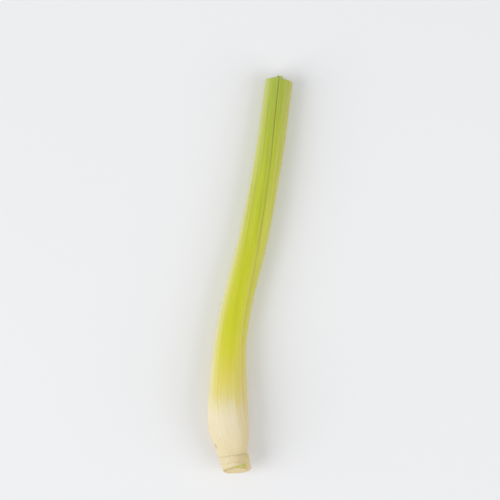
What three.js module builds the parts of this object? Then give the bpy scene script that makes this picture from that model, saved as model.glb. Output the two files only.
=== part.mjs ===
// A cut stalk of lemongrass lying on a table, with its root end at -Y and its cut top at +Y.
// Millimetres, +Z up. The origin is on the table, under the middle of the box round the stalk.
//
// The stalk is built as it grows. A short woody stem base, cut flat below, steps inwards inside
// the bulb, and each step carries one leaf sheath. A sheath is a leaf rolled once round the ones
// within it, with one edge lapped over the other, and the laps lie on opposite sides in turn.
// The youngest leaf stands in the middle, rolled up tight.
import * as THREE from "three";

// Driving dimensions. A length "along" is measured parallel to +Y, from the lowest point of the
// root cut.
const ROOT_CUT = 1.7; // where the root cut crosses the axis
const TOP_CUT = 159.5;
const MIDDLE = 80.36; // of the stalk's box
const OVAL = 0.95; // height of a section over its width
const GAP = 0.03; // between neighbouring leaves, as a share of the stalk's radius
const ROUNDING = 1e-6; // slack where two angles are compared

// The stalk's axis: how far it lies to the right, and how high, at lengths along it.
const AXIS_X = [
  [0, -5.0],
  [5, -6.2],
  [10, -7.42],
  [14, -7.88],
  [19, -8.65],
  [27, -9.0],
  [40, -8.7],
  [52, -8.0],
  [64, -6.15],
  [76, -3.4],
  [93, 1.0],
  [112, 4.9],
  [132, 8.3],
  [159, 11.8],
];
const AXIS_Z = [
  [0, 9.1],
  [5, 8.4],
  [10, 7.95],
  [20, 7.6],
  [30, 7.34],
  [45, 6.82],
  [58, 6.14],
  [72, 5.72],
  [90, 5.76],
  [112, 5.8],
  [135, 5.48],
  [150, 5.07],
  [159, 5.0],
];

// Half the stalk's width, square to its axis: cut end, bulb, neck and top.
const HALF_WIDTH = [
  [0, 5.5],
  [7.5, 5.97],
  [10, 6.42],
  [12, 6.97],
  [14.5, 7.54],
  [17.5, 8.05],
  [21.5, 8.28],
  [27, 8.12],
  [34, 7.6],
  [43, 7.0],
  [52, 6.5],
  [63, 6.2],
  [80, 6.05],
  [110, 5.8],
  [159, 5.5],
];

// Sections are not quite round. Two slow waves turn along the stalk.
const WAVES = [
  { folds: 2, height: 0.014, turn: 1 / 38, start: 0.4 },
  { folds: 3, height: 0.01, turn: -1 / 24, start: 1.7 },
];

// The cut and the rings above it don't stand square to the axis. They lean down to the right and
// in at the top, by a rise over a run, and the lean dies out in the bulb.
const LEAN_RIGHT = [
  [0, -0.145],
  [7, -0.123],
  [20, 0],
  [159, 0],
];
const LEAN_TOP = [
  [0, 0.27],
  [4, 0.16],
  [7, 0.1],
  [20, 0],
  [159, 0],
];

// A sheath's lap: how its edges thin out, and where its outer edge runs. Angles go round a
// section from the right-hand side (0) over the top (quarter turn).
const LAP_SLIT = 0.11; // slit between the two edges, as a share of the wall
const LAP_EDGE = 0.34; // thickness of an edge's lip, as a share of the wall
const OUTER_RAMP = THREE.MathUtils.degToRad(30); // over which the wall regains its outside
const INNER_RAMP = THREE.MathUtils.degToRad(15); // over which the wall clears the edge under it
const LAP_ANGLE = [
  [0, 8],
  [16, 18],
  [32, 29],
  [52, 33],
  [72, 46],
  [100, 66],
  [130, 82],
  [159, 92],
];

// Lengthwise ribs of the outermost sheath.
const RIB_COUNT = 12;
const RIB_HEIGHT = [
  [5, 0.03],
  [22, 0.04],
  [60, 0.09],
  [159, 0.11],
];

// The leaves, from the outermost in. Radii are shares of the stalk's own radius. The sides are
// those of one full turn, and the lap, in degrees, is a whole number of them.
const LEAVES = [
  {
    name: "outer_sheath",
    outside: 1,
    inside: 0.8,
    lap: 60,
    base: 7.6,
    top: TOP_CUT - 0.7,
    turned: 0,
    outerSides: 4 * RIB_COUNT,
    innerSides: 24,
    steps: 28,
    colour: 0xd2cf5c,
  },
  {
    name: "second_sheath",
    outside: 0.77,
    inside: 0.6,
    lap: 60,
    base: 10,
    top: TOP_CUT - 0.3,
    turned: 180,
    outerSides: 24,
    innerSides: 18,
    steps: 18,
    colour: 0xc3cf6a,
  },
  {
    name: "third_sheath",
    outside: 0.57,
    inside: 0.42,
    lap: 80,
    base: 13.5,
    top: TOP_CUT,
    turned: 12,
    outerSides: 18,
    innerSides: 18,
    steps: 16,
    colour: 0xd3dc8c,
  },
  {
    name: "fourth_sheath",
    outside: 0.39,
    inside: 0.26,
    lap: 60,
    base: 17.5,
    top: TOP_CUT + 0.4,
    turned: 197,
    outerSides: 18,
    innerSides: 12,
    steps: 14,
    colour: 0xe0e5a8,
  },
  {
    name: "heart_leaf",
    outside: 0.23,
    inside: 0.07,
    lap: 150,
    base: 22.5,
    top: TOP_CUT + 1.1,
    turned: 30,
    outerSides: 12,
    innerSides: 12,
    steps: 12,
    colour: 0xe9ebbd,
  },
];

// The stem base: the plug below the sheaths, then a step for each leaf. A step stops short of the
// leaf that stands on it.
const STEM_SIDES = 36;
const STEP_GAP = 0.3;
const CUT_DISH = 0.3; // how deep the cut face sinks in its middle
const CUT_ROUND = 0.4; // rounding of the cut's rim
const SCAR_ALONG = 4.1; // ring left by a leaf that was pulled off
const SCAR_HALF = 0.5;
const SCAR_DEPTH = 0.04;
const SHOULDER_ROUND = 0.4; // rounding of the plug's edge under the outer sheath
const RIM = 0.9; // share of the radius outside which the plug swells
const BULGE = 0.45; // how far it swells on its right-hand side
const STEM_COLOUR = 0xdcc79a;

// The knife met the top a little askew: it runs this far up for each millimetre across.
const TOP_SLOPE = 0.05;

// Stations along a leaf draw together towards the bulb by this power.
const STATION_EASE = 1.5;

// A smooth curve through knots [position, value], read at one position.
function through(knots, at) {
  const slope = (i) => {
    const before = knots[Math.max(i - 1, 0)];
    const after = knots[Math.min(i + 1, knots.length - 1)];
    return (after[1] - before[1]) / (after[0] - before[0]);
  };
  let i = 0;
  while (i < knots.length - 2 && at > knots[i + 1][0]) i += 1;
  const span = knots[i + 1][0] - knots[i][0];
  const t = (at - knots[i][0]) / span;
  const rise = t * t * (3 - 2 * t);
  return (
    knots[i][1] * (1 - rise) +
    knots[i + 1][1] * rise +
    slope(i) * span * t * (1 - t) * (1 - t) -
    slope(i + 1) * span * t * t * (1 - t)
  );
}

// The axis at a length along the stalk, with the two directions that a section is drawn in.
function axisAt(along) {
  const step = 0.5;
  const point = (a) =>
    new THREE.Vector3(through(AXIS_X, a), a - MIDDLE, through(AXIS_Z, a));
  const tangent = point(along + step).sub(point(along - step)).normalize();
  const side = new THREE.Vector3().crossVectors(tangent, new THREE.Vector3(0, 0, 1)).normalize();
  const up = new THREE.Vector3().crossVectors(side, tangent);
  return { centre: point(along), side, up };
}

// A point of the stalk: an angle round the section, a share of the radius, a length along, and
// how far it is raised from there. What would be under the table is pressed flat on it.
function place(angle, share, along, raised = 0) {
  const { centre, side, up } = axisAt(along);
  let waved = 1;
  for (const w of WAVES) waved += w.height * Math.cos(w.folds * angle + along * w.turn + w.start);
  const radius = through(HALF_WIDTH, along) * waved * share + raised;
  const across = radius * Math.cos(angle);
  const over = radius * OVAL * Math.sin(angle);
  const point = centre.addScaledVector(side, across).addScaledVector(up, over);
  point.y += across * through(LEAN_RIGHT, along) + over * through(LEAN_TOP, along);
  point.z = Math.max(point.z, 0);
  return point;
}

// Moves every vertex of a geometry to where a rule puts it.
function reshape(geometry, rule) {
  const position = geometry.getAttribute("position");
  const vertex = new THREE.Vector3();
  for (let i = 0; i < position.count; i += 1) {
    const placed = rule(vertex.fromBufferAttribute(position, i));
    position.setXYZ(i, placed.x, placed.y, placed.z);
  }
  geometry.computeVertexNormals();
  return geometry;
}

// The section of a rolled leaf, where the stalk's own radius is 1. It starts at the lip of the
// covered edge, goes clockwise once round outside, over that edge to the covering lip, and back
// inside. A depth is 0 on the inside of the wall and 1 on its outside.
function leafSection({ outside, inside, lap, outerSides, innerSides }) {
  const wall = outside - inside;
  const lapped = THREE.MathUtils.degToRad(lap);
  const fullTurn = 2 * Math.PI + lapped;
  const covered = (turn) => THREE.MathUtils.lerp(LAP_EDGE, 1 - LAP_SLIT - LAP_EDGE, turn / lapped);
  const outerDepth = (turn) => {
    if (turn < lapped) return covered(turn);
    const share = Math.min(1, (turn - lapped) / OUTER_RAMP);
    return THREE.MathUtils.lerp(covered(lapped), 1, Math.sin((share * Math.PI) / 2));
  };
  const innerDepth = (turn) => {
    const past = turn - 2 * Math.PI;
    if (past > -ROUNDING) return covered(past) + LAP_SLIT;
    return Math.max(0, 1 + past / INNER_RAMP) * (covered(0) + LAP_SLIT);
  };
  const vertex = (turn, depth) => {
    const radius = inside + wall * depth;
    const angle = lapped - turn;
    return new THREE.Vector2(radius * Math.cos(angle), radius * Math.sin(angle));
  };
  const outerCount = Math.round((outerSides * fullTurn) / (2 * Math.PI));
  const innerCount = Math.round((innerSides * fullTurn) / (2 * Math.PI));
  const points = [];
  for (let i = 0; i <= outerCount; i += 1) {
    const turn = (2 * Math.PI * i) / outerSides;
    points.push(vertex(turn, outerDepth(turn)));
  }
  for (let i = innerCount; i >= 0; i -= 1) {
    const turn = (2 * Math.PI * i) / innerSides;
    points.push(vertex(turn, innerDepth(turn)));
  }
  return new THREE.Shape(points);
}

// One rolled leaf. Its section is drawn out from the cut top down to its step on the stem base,
// with closer stations towards the bulb.
function leafGeometry(leaf) {
  const drawn = new THREE.ExtrudeGeometry(leafSection(leaf), {
    depth: 1,
    steps: leaf.steps,
    bevelEnabled: false,
  });
  const topRadius = through(HALF_WIDTH, leaf.top);
  return reshape(drawn, (v) => {
    const own = Math.atan2(v.y, v.x);
    const share = Math.hypot(v.x, v.y);
    const rise = (1 - v.z) ** STATION_EASE;
    const level = THREE.MathUtils.lerp(leaf.base, leaf.top, rise);
    const angle = own + THREE.MathUtils.degToRad(through(LAP_ANGLE, level) + leaf.turned);
    const along = level + rise * TOP_SLOPE * topRadius * share * Math.sin(angle);
    const ribbed = leaf === LEAVES[0] && share > (leaf.inside + leaf.outside) / 2;
    const groove = ribbed ? (Math.cos(RIB_COUNT * own) - 1) / 2 : 0;
    return place(angle, share, along, groove * through(RIB_HEIGHT, along));
  });
}

// The stem base, turned round the stalk's axis: the cut face, the plug with a leaf's ring-shaped
// scar, and then the steps, up to a blunt tip under the youngest leaf.
function stemGeometry() {
  const shoulder = LEAVES[0].base - STEP_GAP;
  const profile = [
    [0, ROOT_CUT + CUT_DISH],
    [0.35, ROOT_CUT + CUT_DISH * 0.9],
    [0.7, ROOT_CUT + CUT_DISH * 0.45],
    [0.92, ROOT_CUT],
    [1, ROOT_CUT + CUT_ROUND],
    [1, SCAR_ALONG - SCAR_HALF],
    [1 - SCAR_DEPTH, SCAR_ALONG],
    [1, SCAR_ALONG + SCAR_HALF],
    [1, shoulder - SHOULDER_ROUND],
    [0.96, shoulder],
  ];
  for (const [i, leaf] of LEAVES.entries()) {
    const next = LEAVES[i + 1];
    const radius = leaf.inside - GAP;
    profile.push([radius, leaf.base - STEP_GAP]);
    if (next) profile.push([radius, next.base - STEP_GAP]);
  }
  profile.push([0, LEAVES.at(-1).base - STEP_GAP]);
  const drawn = new THREE.LatheGeometry(
    profile.map(([radius, along]) => new THREE.Vector2(radius, along)),
    STEM_SIDES,
  );
  return reshape(drawn, (v) => {
    const angle = Math.atan2(v.z, v.x);
    const share = Math.hypot(v.x, v.z);
    const swell = share > RIM ? BULGE * Math.max(0, Math.cos(angle)) : 0;
    return place(angle, share, v.y, swell);
  });
}

// A named piece of plant tissue.
function piece(name, geometry, color, roughness) {
  const mesh = new THREE.Mesh(
    geometry,
    new THREE.MeshStandardMaterial({ color, roughness, metalness: 0 }),
  );
  mesh.name = name;
  return mesh;
}

const stalk = new THREE.Group();
stalk.add(piece("stem_base", stemGeometry(), STEM_COLOUR, 0.7));
for (const leaf of LEAVES) {
  stalk.add(piece(leaf.name, leafGeometry(leaf), leaf.colour, 0.45));
}

export default stalk;
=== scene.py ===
# %% [markdown]
# # A lemongrass stalk
# Lemongrass is a grass. What a shop sells as a stalk is a short piece of woody stem, cut flat at
# the root end, with leaf sheaths rolled tightly round one another above it. The outermost leaf
# makes the pale bulb and the yellow-green neck, and the leaves inside show only at the cut top.
#
# The packed model already holds each piece at its real size, with few faces. It comes first, as
# the frame that every finer piece has to fit.

# %% Load the packed model
import math
import random

import bmesh
import bpy
import numpy as np
from mathutils import Matrix, Vector


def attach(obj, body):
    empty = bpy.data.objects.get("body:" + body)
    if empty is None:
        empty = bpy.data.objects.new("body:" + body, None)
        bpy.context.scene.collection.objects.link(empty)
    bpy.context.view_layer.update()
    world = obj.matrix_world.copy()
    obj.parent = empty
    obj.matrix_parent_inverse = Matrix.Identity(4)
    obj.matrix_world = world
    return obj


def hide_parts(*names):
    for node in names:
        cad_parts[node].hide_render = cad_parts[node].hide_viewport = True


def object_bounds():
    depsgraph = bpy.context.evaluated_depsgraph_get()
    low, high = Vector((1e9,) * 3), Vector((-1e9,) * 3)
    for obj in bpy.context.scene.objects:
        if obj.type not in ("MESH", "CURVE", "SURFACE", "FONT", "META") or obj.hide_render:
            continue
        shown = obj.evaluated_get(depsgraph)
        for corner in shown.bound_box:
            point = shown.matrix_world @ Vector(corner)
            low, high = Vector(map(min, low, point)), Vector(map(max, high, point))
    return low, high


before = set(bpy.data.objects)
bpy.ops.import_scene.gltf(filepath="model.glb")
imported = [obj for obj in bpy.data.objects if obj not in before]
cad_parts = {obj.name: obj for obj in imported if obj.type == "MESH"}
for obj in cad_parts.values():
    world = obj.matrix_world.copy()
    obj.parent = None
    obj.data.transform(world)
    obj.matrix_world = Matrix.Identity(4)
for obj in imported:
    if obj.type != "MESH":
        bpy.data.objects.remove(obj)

cad_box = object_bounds()
print("frame:", sorted(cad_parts))
print("box in mm:", [round(side * 1000, 2) for side in cad_box[1] - cad_box[0]])

# %% [markdown]
# ## The form that all the pieces share
# A stalk has one soft bend and one changing width, and every leaf follows both. The same few
# measures that shape the packed solids are repeated here, so a fine piece lands exactly where its
# plain solid is. They are pairs of a length along the stalk and a value, and a smooth curve runs
# through them. Modelling each leaf freely by eye would look as good from above, but the leaves
# would soon cut through each other inside.

# %% Units
MM = 0.001
DEGREE = math.radians(1)
TURN = 2 * math.pi


def knots(pairs, unit=MM):
    """Pairs of a length along in millimetres and a value in some unit, as an array in metres."""
    return np.array(pairs, float) * (MM, unit)


print("degrees in a full turn:", round(TURN / DEGREE))

# %% Measures of the stalk
# Lengths along are measured from the lowest point of the root cut. The middle is that of the
# stalk's whole length. The gap between leaves is a share of the stalk's radius.
ROOT_CUT = 1.7 * MM
TOP_CUT = 159.5 * MM
MIDDLE = 80.36 * MM
OVAL = 0.95
GAP = 0.03
# How far the axis lies to the right, how high it lies, and half the stalk's width.
AXIS_X = knots([
    (0, -5.0), (5, -6.2), (10, -7.42), (14, -7.88), (19, -8.65), (27, -9.0), (40, -8.7),
    (52, -8.0), (64, -6.15), (76, -3.4), (93, 1.0), (112, 4.9), (132, 8.3), (159, 11.8),
])
AXIS_Z = knots([
    (0, 9.1), (5, 8.4), (10, 7.95), (20, 7.6), (30, 7.34), (45, 6.82), (58, 6.14),
    (72, 5.72), (90, 5.76), (112, 5.8), (135, 5.48), (150, 5.07), (159, 5.0),
])
HALF_WIDTH = knots([
    (0, 5.5), (7.5, 5.97), (10, 6.42), (12, 6.97), (14.5, 7.54), (17.5, 8.05), (21.5, 8.28),
    (27, 8.12), (34, 7.6), (43, 7.0), (52, 6.5), (63, 6.2), (80, 6.05), (110, 5.8), (159, 5.5),
])
# Two slow waves turn along the stalk, so that a section isn't quite round.
WAVES = [
    {"folds": 2, "height": 0.014, "turn": 1 / (38 * MM), "start": 0.4},
    {"folds": 3, "height": 0.01, "turn": -1 / (24 * MM), "start": 1.7},
]
# The cut and the rings lean down to the right and in at the top, by a rise over a run.
LEAN_RIGHT = knots([(0, -0.145), (7, -0.123), (20, 0), (159, 0)], unit=1)
LEAN_TOP = knots([(0, 0.27), (4, 0.16), (7, 0.1), (20, 0), (159, 0)], unit=1)
print("half width in mm, from root to top:", np.round(HALF_WIDTH[:, 1] / MM, 2))


# %% Points of the stalk
def through(pairs, at):
    """The smooth curve through pairs of position and value, read at an array of positions."""
    places, values = pairs.T
    last = len(places) - 1
    before = np.maximum(np.arange(last + 1) - 1, 0)
    after = np.minimum(np.arange(last + 1) + 1, last)
    slopes = (values[after] - values[before]) / (places[after] - places[before])
    i = np.clip(np.searchsorted(places, at, side="left") - 1, 0, last - 1)
    span = places[i + 1] - places[i]
    t = (at - places[i]) / span
    rise = t * t * (3 - 2 * t)
    level = values[i] * (1 - rise) + values[i + 1] * rise
    return level + span * t * (1 - t) * (slopes[i] * (1 - t) - slopes[i + 1] * t)


def axis_point(along):
    """Points of the stalk's axis at lengths along it."""
    return np.stack((through(AXIS_X, along), along - MIDDLE, through(AXIS_Z, along)), -1)


def unit_vectors(vectors):
    """The same directions with a length of one."""
    return vectors / np.linalg.norm(vectors, axis=-1, keepdims=True)


def stalk_point(angle, share, along, raised=0.0):
    """Points at an angle round the stalk, a share of its radius and a length along it."""
    step = 0.5 * MM
    tangent = unit_vectors(axis_point(along + step) - axis_point(along - step))
    side = unit_vectors(np.cross(tangent, (0.0, 0.0, 1.0)))
    up = np.cross(side, tangent)
    waved = 1.0
    for wave in WAVES:
        phase = wave["folds"] * angle + along * wave["turn"] + wave["start"]
        waved = waved + wave["height"] * np.cos(phase)
    radius = through(HALF_WIDTH, along) * waved * share + raised
    across = radius * np.cos(angle)
    over = radius * OVAL * np.sin(angle)
    point = axis_point(along) + side * across[..., None] + up * over[..., None]
    point[..., 1] += across * through(LEAN_RIGHT, along) + over * through(LEAN_TOP, along)
    point[..., 2] = np.maximum(point[..., 2], 0.0)
    return point


BULB_ALONG = 21.5 * MM
bulb = stalk_point(np.array([0.0, math.pi]), np.ones(2), np.full(2, BULB_ALONG))
print("bulb's width in mm:", round(float(np.ptp(bulb[:, 0])) / MM, 2))

# %% [markdown]
# ## Helpers for uneven surfaces
# Nothing on a plant is quite regular. Small dents and wandering lines could come from a sculpted
# mesh or a noise texture. Here a handful of seeded waves is added up instead: it is smooth, works
# on a whole array of points at once, and gives the same stalk at every run.


# %% Seeded waves
def ripple(seed, x, y, x_size, y_size, waves=7):
    """A smooth uneven field between about -1 and 1, with lumps of a given size each way."""
    draw = random.Random(seed)
    total = 0.0
    for _ in range(waves):
        x_turns = draw.uniform(-1, 1) * TURN / x_size
        y_turns = draw.uniform(-1, 1) * TURN / y_size
        total = total + np.cos(x * x_turns + y * y_turns + draw.uniform(0, TURN))
    return total / math.sqrt(waves * 2)


def ease(start, end, value):
    """0 up to the start, 1 from the end on, and a soft step between them."""
    t = np.clip((value - start) / (end - start), 0.0, 1.0)
    return t * t * (3 - 2 * t)


print("ripple at three points:", np.round(ripple(1, np.arange(3.0), 0.0, 4.0, 4.0), 3))
print("a soft step in five parts:", ease(0.0, 1.0, np.linspace(0.0, 1.0, 5)))

# %% [markdown]
# ## Shader groups for plant tissue
# A leaf has long fibres, so its colour changes slowly lengthwise and quickly across. All the
# leaves share three effects: soft streaks, fine parallel veins, and small specks. Each is a node
# group, built once, that reads a place on the leaf in millimetres and puts out a plain value. The
# place is stored on the mesh while the leaf is still flat, so the pattern bends with the leaf and
# has no seam. Nodes are added by script, so a few short helpers come first.


# %% Add a node
def feed(tree, socket, value):
    """Feeds an input socket: links it from another socket, or sets it to a plain value."""
    if isinstance(value, bpy.types.NodeSocket):
        tree.links.new(value, socket)
    else:
        socket.default_value = value


def add(tree, kind, settings=None, inputs=None):
    """A new node. Settings are its properties. Inputs are values, or sockets to link from."""
    made = tree.nodes.new(kind)
    for name, value in (settings or {}).items():
        setattr(made, name, value)
    for name, value in (inputs or {}).items():
        feed(tree, made.inputs[name], value)
    return made


print("helpers for a node:", feed.__name__, "and", add.__name__)


# %% Values in a shader
def calculate(tree, operation, *values):
    """The result of a Math node on one or two numbers or sockets."""
    return add(tree, "ShaderNodeMath", {"operation": operation}, dict(enumerate(values))).outputs[0]


def multiply(tree, first, *others):
    """The product of numbers and sockets."""
    for other in others:
        first = calculate(tree, "MULTIPLY", first, other)
    return first


def add_up(tree, first, *others):
    """The sum of numbers and sockets."""
    for other in others:
        first = calculate(tree, "ADD", first, other)
    return first


def spread(tree, value, low, high, to_low=0.0, to_high=1.0):
    """A value between two limits, spread over another range and clamped to it."""
    inputs = {"Value": value, "From Min": low, "From Max": high}
    inputs.update({"To Min": to_low, "To Max": to_high})
    return add(tree, "ShaderNodeMapRange", None, inputs).outputs["Result"]


def between(tree, share, at_none, at_full):
    """A share from 0 to 1, turned into a value between two others."""
    return spread(tree, share, 0.0, 1.0, at_none, at_full)


for helper in (calculate, multiply, add_up, spread, between):
    print(helper.__name__ + ":", helper.__doc__)

# %% Colours and noise in a shader
# A Mix node lists a socket for every kind of data. These are its places for colours.
MIX_SHARE = 0
MIX_FIRST = 6
MIX_SECOND = 7
MIX_RESULT = 2


def blend_colours(tree, share, first, second, way="MIX"):
    """Two colours mixed by a share."""
    settings = {"data_type": "RGBA", "blend_type": way}
    inputs = {MIX_SHARE: share, MIX_FIRST: first, MIX_SECOND: second}
    return add(tree, "ShaderNodeMix", settings, inputs).outputs[MIX_RESULT]


def noise_at(tree, place, scale=1.0, detail=2.0, roughness=0.5):
    """Soft noise between 0 and 1 at a place."""
    inputs = {"Vector": place, "Scale": scale, "Detail": detail, "Roughness": roughness}
    return add(tree, "ShaderNodeTexNoise", None, inputs).outputs["Fac"]


for helper in (blend_colours, noise_at):
    print(helper.__name__ + ":", helper.__doc__)

# %% Helpers for node groups
FLOAT = "NodeSocketFloat"
VECTOR = "NodeSocketVector"


def node_group(name, inputs, output):
    """A shader node group that reads a place and some numbers, with its input and output nodes."""
    group = bpy.data.node_groups.new(name, "ShaderNodeTree")
    group.interface.new_socket("Place", in_out="INPUT", socket_type=VECTOR)
    for label, value in inputs.items():
        group.interface.new_socket(label, in_out="INPUT", socket_type=FLOAT).default_value = value
    group.interface.new_socket(output, in_out="OUTPUT", socket_type=FLOAT)
    return group, group.nodes.new("NodeGroupInput").outputs, group.nodes.new("NodeGroupOutput")


def split(tree, vector):
    """The three parts of a vector, called X, Y and Z."""
    return add(tree, "ShaderNodeSeparateXYZ", None, {"Vector": vector}).outputs


def join(tree, x, y, z):
    """A vector from its three parts."""
    return add(tree, "ShaderNodeCombineXYZ", None, {"X": x, "Y": y, "Z": z}).outputs[0]


def pattern(tree, group, place, **numbers):
    """A node group used at a place, with its own numbers."""
    inputs = {"Place": place, **numbers}
    return add(tree, "ShaderNodeGroup", {"node_tree": group}, inputs).outputs[0]


print("kinds of socket:", FLOAT, "and", VECTOR)

# %% Soft streaks
STREAK_DETAIL = 3.0
STREAK_ROUGHNESS = 0.55


def make_streaks():
    """Long soft streaks that run along the leaf. Their width and length are in millimetres."""
    sizes = {"Width": 1.0, "Length": 40.0, "Seed": 0.0}
    group, given, result = node_group("Long streaks", sizes, "Streaks")
    parts = split(group, given["Place"])
    across = calculate(group, "DIVIDE", parts["X"], given["Width"])
    along = calculate(group, "DIVIDE", parts["Y"], given["Length"])
    place = join(group, across, along, given["Seed"])
    noise = noise_at(group, place, detail=STREAK_DETAIL, roughness=STREAK_ROUGHNESS)
    group.links.new(spread(group, noise, 0.3, 0.7), result.inputs["Streaks"])
    return group


STREAKS = make_streaks()
print("group:", STREAKS.name, "with", len(STREAKS.nodes), "nodes")

# %% Parallel veins
WANDER_ACROSS = 0.8
WANDER_ALONG = 0.03
WANDER_SEED = 3.7


def make_veins():
    """Fine ridges that run along the leaf. The noise that moves them is slow lengthwise."""
    group, given, result = node_group("Parallel veins", {"Spacing": 0.4, "Wander": 0.6}, "Veins")
    parts = split(group, given["Place"])
    along = multiply(group, parts["Y"], WANDER_ALONG)
    across = multiply(group, parts["X"], WANDER_ACROSS)
    noise = noise_at(group, join(group, across, along, WANDER_SEED), detail=1.0)
    moved = add_up(group, parts["X"], multiply(group, noise, given["Wander"]))
    turns = calculate(group, "DIVIDE", moved, given["Spacing"])
    wave = calculate(group, "SINE", multiply(group, turns, TURN))
    group.links.new(spread(group, wave, -1.0, 1.0), result.inputs["Veins"])
    return group


VEINS = make_veins()
print("group:", VEINS.name, "with", len(VEINS.nodes), "nodes")

# %% Specks
SPECK_SIZES = (0.12, 0.3)
SPECK_EDGE = 0.1


def make_specks():
    """Small scattered spots, as pores, flecks and bundle ends. The amount is a share of them."""
    numbers = {"Spacing": 2.0, "Stretch": 3.0, "Amount": 0.2}
    group, given, result = node_group("Specks", numbers, "Specks")
    parts = split(group, given["Place"])
    across = calculate(group, "DIVIDE", parts["X"], given["Spacing"])
    long_side = multiply(group, given["Spacing"], given["Stretch"])
    along = calculate(group, "DIVIDE", parts["Y"], long_side)
    deep = calculate(group, "DIVIDE", parts["Z"], given["Spacing"])
    place = join(group, across, along, deep)
    cells = add(group, "ShaderNodeTexVoronoi", None, {"Vector": place, "Scale": 1.0}).outputs
    luck = add(group, "ShaderNodeSeparateColor", None, {"Color": cells["Color"]}).outputs
    chosen = calculate(group, "LESS_THAN", luck["Red"], given["Amount"])
    size = between(group, luck["Green"], *SPECK_SIZES)
    near = calculate(group, "SUBTRACT", size, cells["Distance"])
    speck = multiply(group, spread(group, near, 0.0, SPECK_EDGE), chosen)
    group.links.new(speck, result.inputs["Specks"])
    return group


SPECKS = make_specks()
print("group:", SPECKS.name, "with", len(SPECKS.nodes), "nodes")

# %% [markdown]
# ## The finish of a leaf
# At the bulb the leaf never saw light, so it is cream. Above, it turns yellow and then
# yellow-green, and the change follows the fibres in uneven tongues. The skin is smooth with a
# faint wax. Its left side is made paler by a painted sheen, and its right side more tan by painted
# shade. A colour ramp along the leaf, pushed up and down by the streaks, gives the tongues;
# painting them by hand on an image would be stuck to one size. The dry margin and the brown
# stains come from marks that the mesh carries.


# %% Colours along a leaf
def colour(red, green, blue):
    """A colour as it looks on a screen, from 0 to 255, made linear for the shader."""
    shares = [value / 255 for value in (red, green, blue)]
    return (*[s / 12.92 if s < 0.04045 else ((s + 0.055) / 1.055) ** 2.4 for s in shares], 1.0)


# Each colour stands at its length along the stalk in millimetres.
RAMP_LENGTH = 160.0
OUTER_COLOURS = [
    (0, colour(227, 210, 165)),
    (12, colour(231, 216, 177)),
    (22, colour(237, 224, 192)),
    (27, colour(234, 221, 175)),
    (31, colour(228, 214, 138)),
    (36, colour(224, 211, 106)),
    (42, colour(219, 209, 80)),
    (49, colour(214, 210, 56)),
    (61, colour(206, 207, 34)),
    (82, colour(196, 201, 36)),
    (115, colour(180, 192, 52)),
    (160, colour(162, 180, 72)),
]
INNER_COLOURS = [
    (0, colour(236, 222, 189)),
    (60, colour(236, 230, 180)),
    (110, colour(214, 218, 130)),
    (160, colour(190, 204, 104)),
]
print("colours along the outer leaf:", len(OUTER_COLOURS), "and along an inner one:", len(INNER_COLOURS))

# %% Helpers for materials
SCATTER_RADIUS = (1.0, 0.8, 0.35)
SCATTER_SCALE = 0.6 * MM
SHINE = 0.35


def new_material(name, roughness, subsurface):
    """A material with only a Principled shader, and its tree."""
    material = bpy.data.materials.new(name)
    material.use_nodes = True
    tree = material.node_tree
    shader = tree.nodes["Principled BSDF"]
    shader.inputs["Roughness"].default_value = roughness
    shader.inputs["Subsurface Weight"].default_value = subsurface
    shader.inputs["Subsurface Radius"].default_value = SCATTER_RADIUS
    shader.inputs["Subsurface Scale"].default_value = SCATTER_SCALE
    shader.inputs["Specular IOR Level"].default_value = SHINE
    return material, tree, shader


def stored(tree, name):
    """A vector that the mesh stores for each point."""
    return add(tree, "ShaderNodeAttribute", {"attribute_name": name}).outputs["Vector"]


def bump(tree, shader, height, strength, distance):
    """A bump from a height between 0 and 1, fed to a shader."""
    inputs = {"Height": height, "Strength": strength, "Distance": distance}
    made = add(tree, "ShaderNodeBump", None, inputs)
    tree.links.new(made.outputs["Normal"], shader.inputs["Normal"])


def colour_ramp(tree, value, stops):
    """A colour ramp whose stops are given by their length along the stalk in millimetres."""
    ramp = add(tree, "ShaderNodeValToRGB")
    ramp.color_ramp.interpolation = "LINEAR"
    elements = ramp.color_ramp.elements
    for element, (along, shade) in zip(elements, (stops[0], stops[-1])):
        element.position = along / RAMP_LENGTH
        element.color = shade
    for along, shade in stops[1:-1]:
        elements.new(along / RAMP_LENGTH).color = shade
    tree.links.new(value, ramp.inputs["Fac"])
    return ramp.outputs["Color"]


print("depth of the light in tissue, in mm:", [round(r * SCATTER_SCALE / MM, 2) for r in SCATTER_RADIUS])

# %% Layers of the leaf's colour
# Spans are lengths along the stalk in millimetres, over which an effect sets in.
GREEN_SPAN = (26.0, 60.0)
LEAFY_SPAN = (70.0, 110.0)
SHEEN_SPAN = (16.0, 36.0)
NARROW_PUSH = 3.75
BROAD_PUSH = 5.25
RIGHT_PUSH = 1.2
# Painted light: a pale sheen painted on each leaf's left side, and painted shade in tan on its right.
LEFT_PAINTED_SHEEN = colour(235, 225, 178)
RIGHT_PAINTED_SHADE = colour(213, 191, 138)
VEIN_LIGHT = colour(236, 230, 150)
STREAK_SHADE = colour(196, 190, 120)
DRY = colour(196, 168, 112)
BROWN = colour(116, 88, 50)


def pushed_level(tree, along, rightward, narrow, broad):
    """The length along from which a point takes its colour, pushed into tongues by the streaks."""
    push = multiply(tree, calculate(tree, "SUBTRACT", narrow, 0.5), NARROW_PUSH)
    broad_push = multiply(tree, calculate(tree, "SUBTRACT", broad, 0.5), BROAD_PUSH)
    return add_up(tree, along, push, broad_push, multiply(tree, rightward, RIGHT_PUSH))


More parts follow.
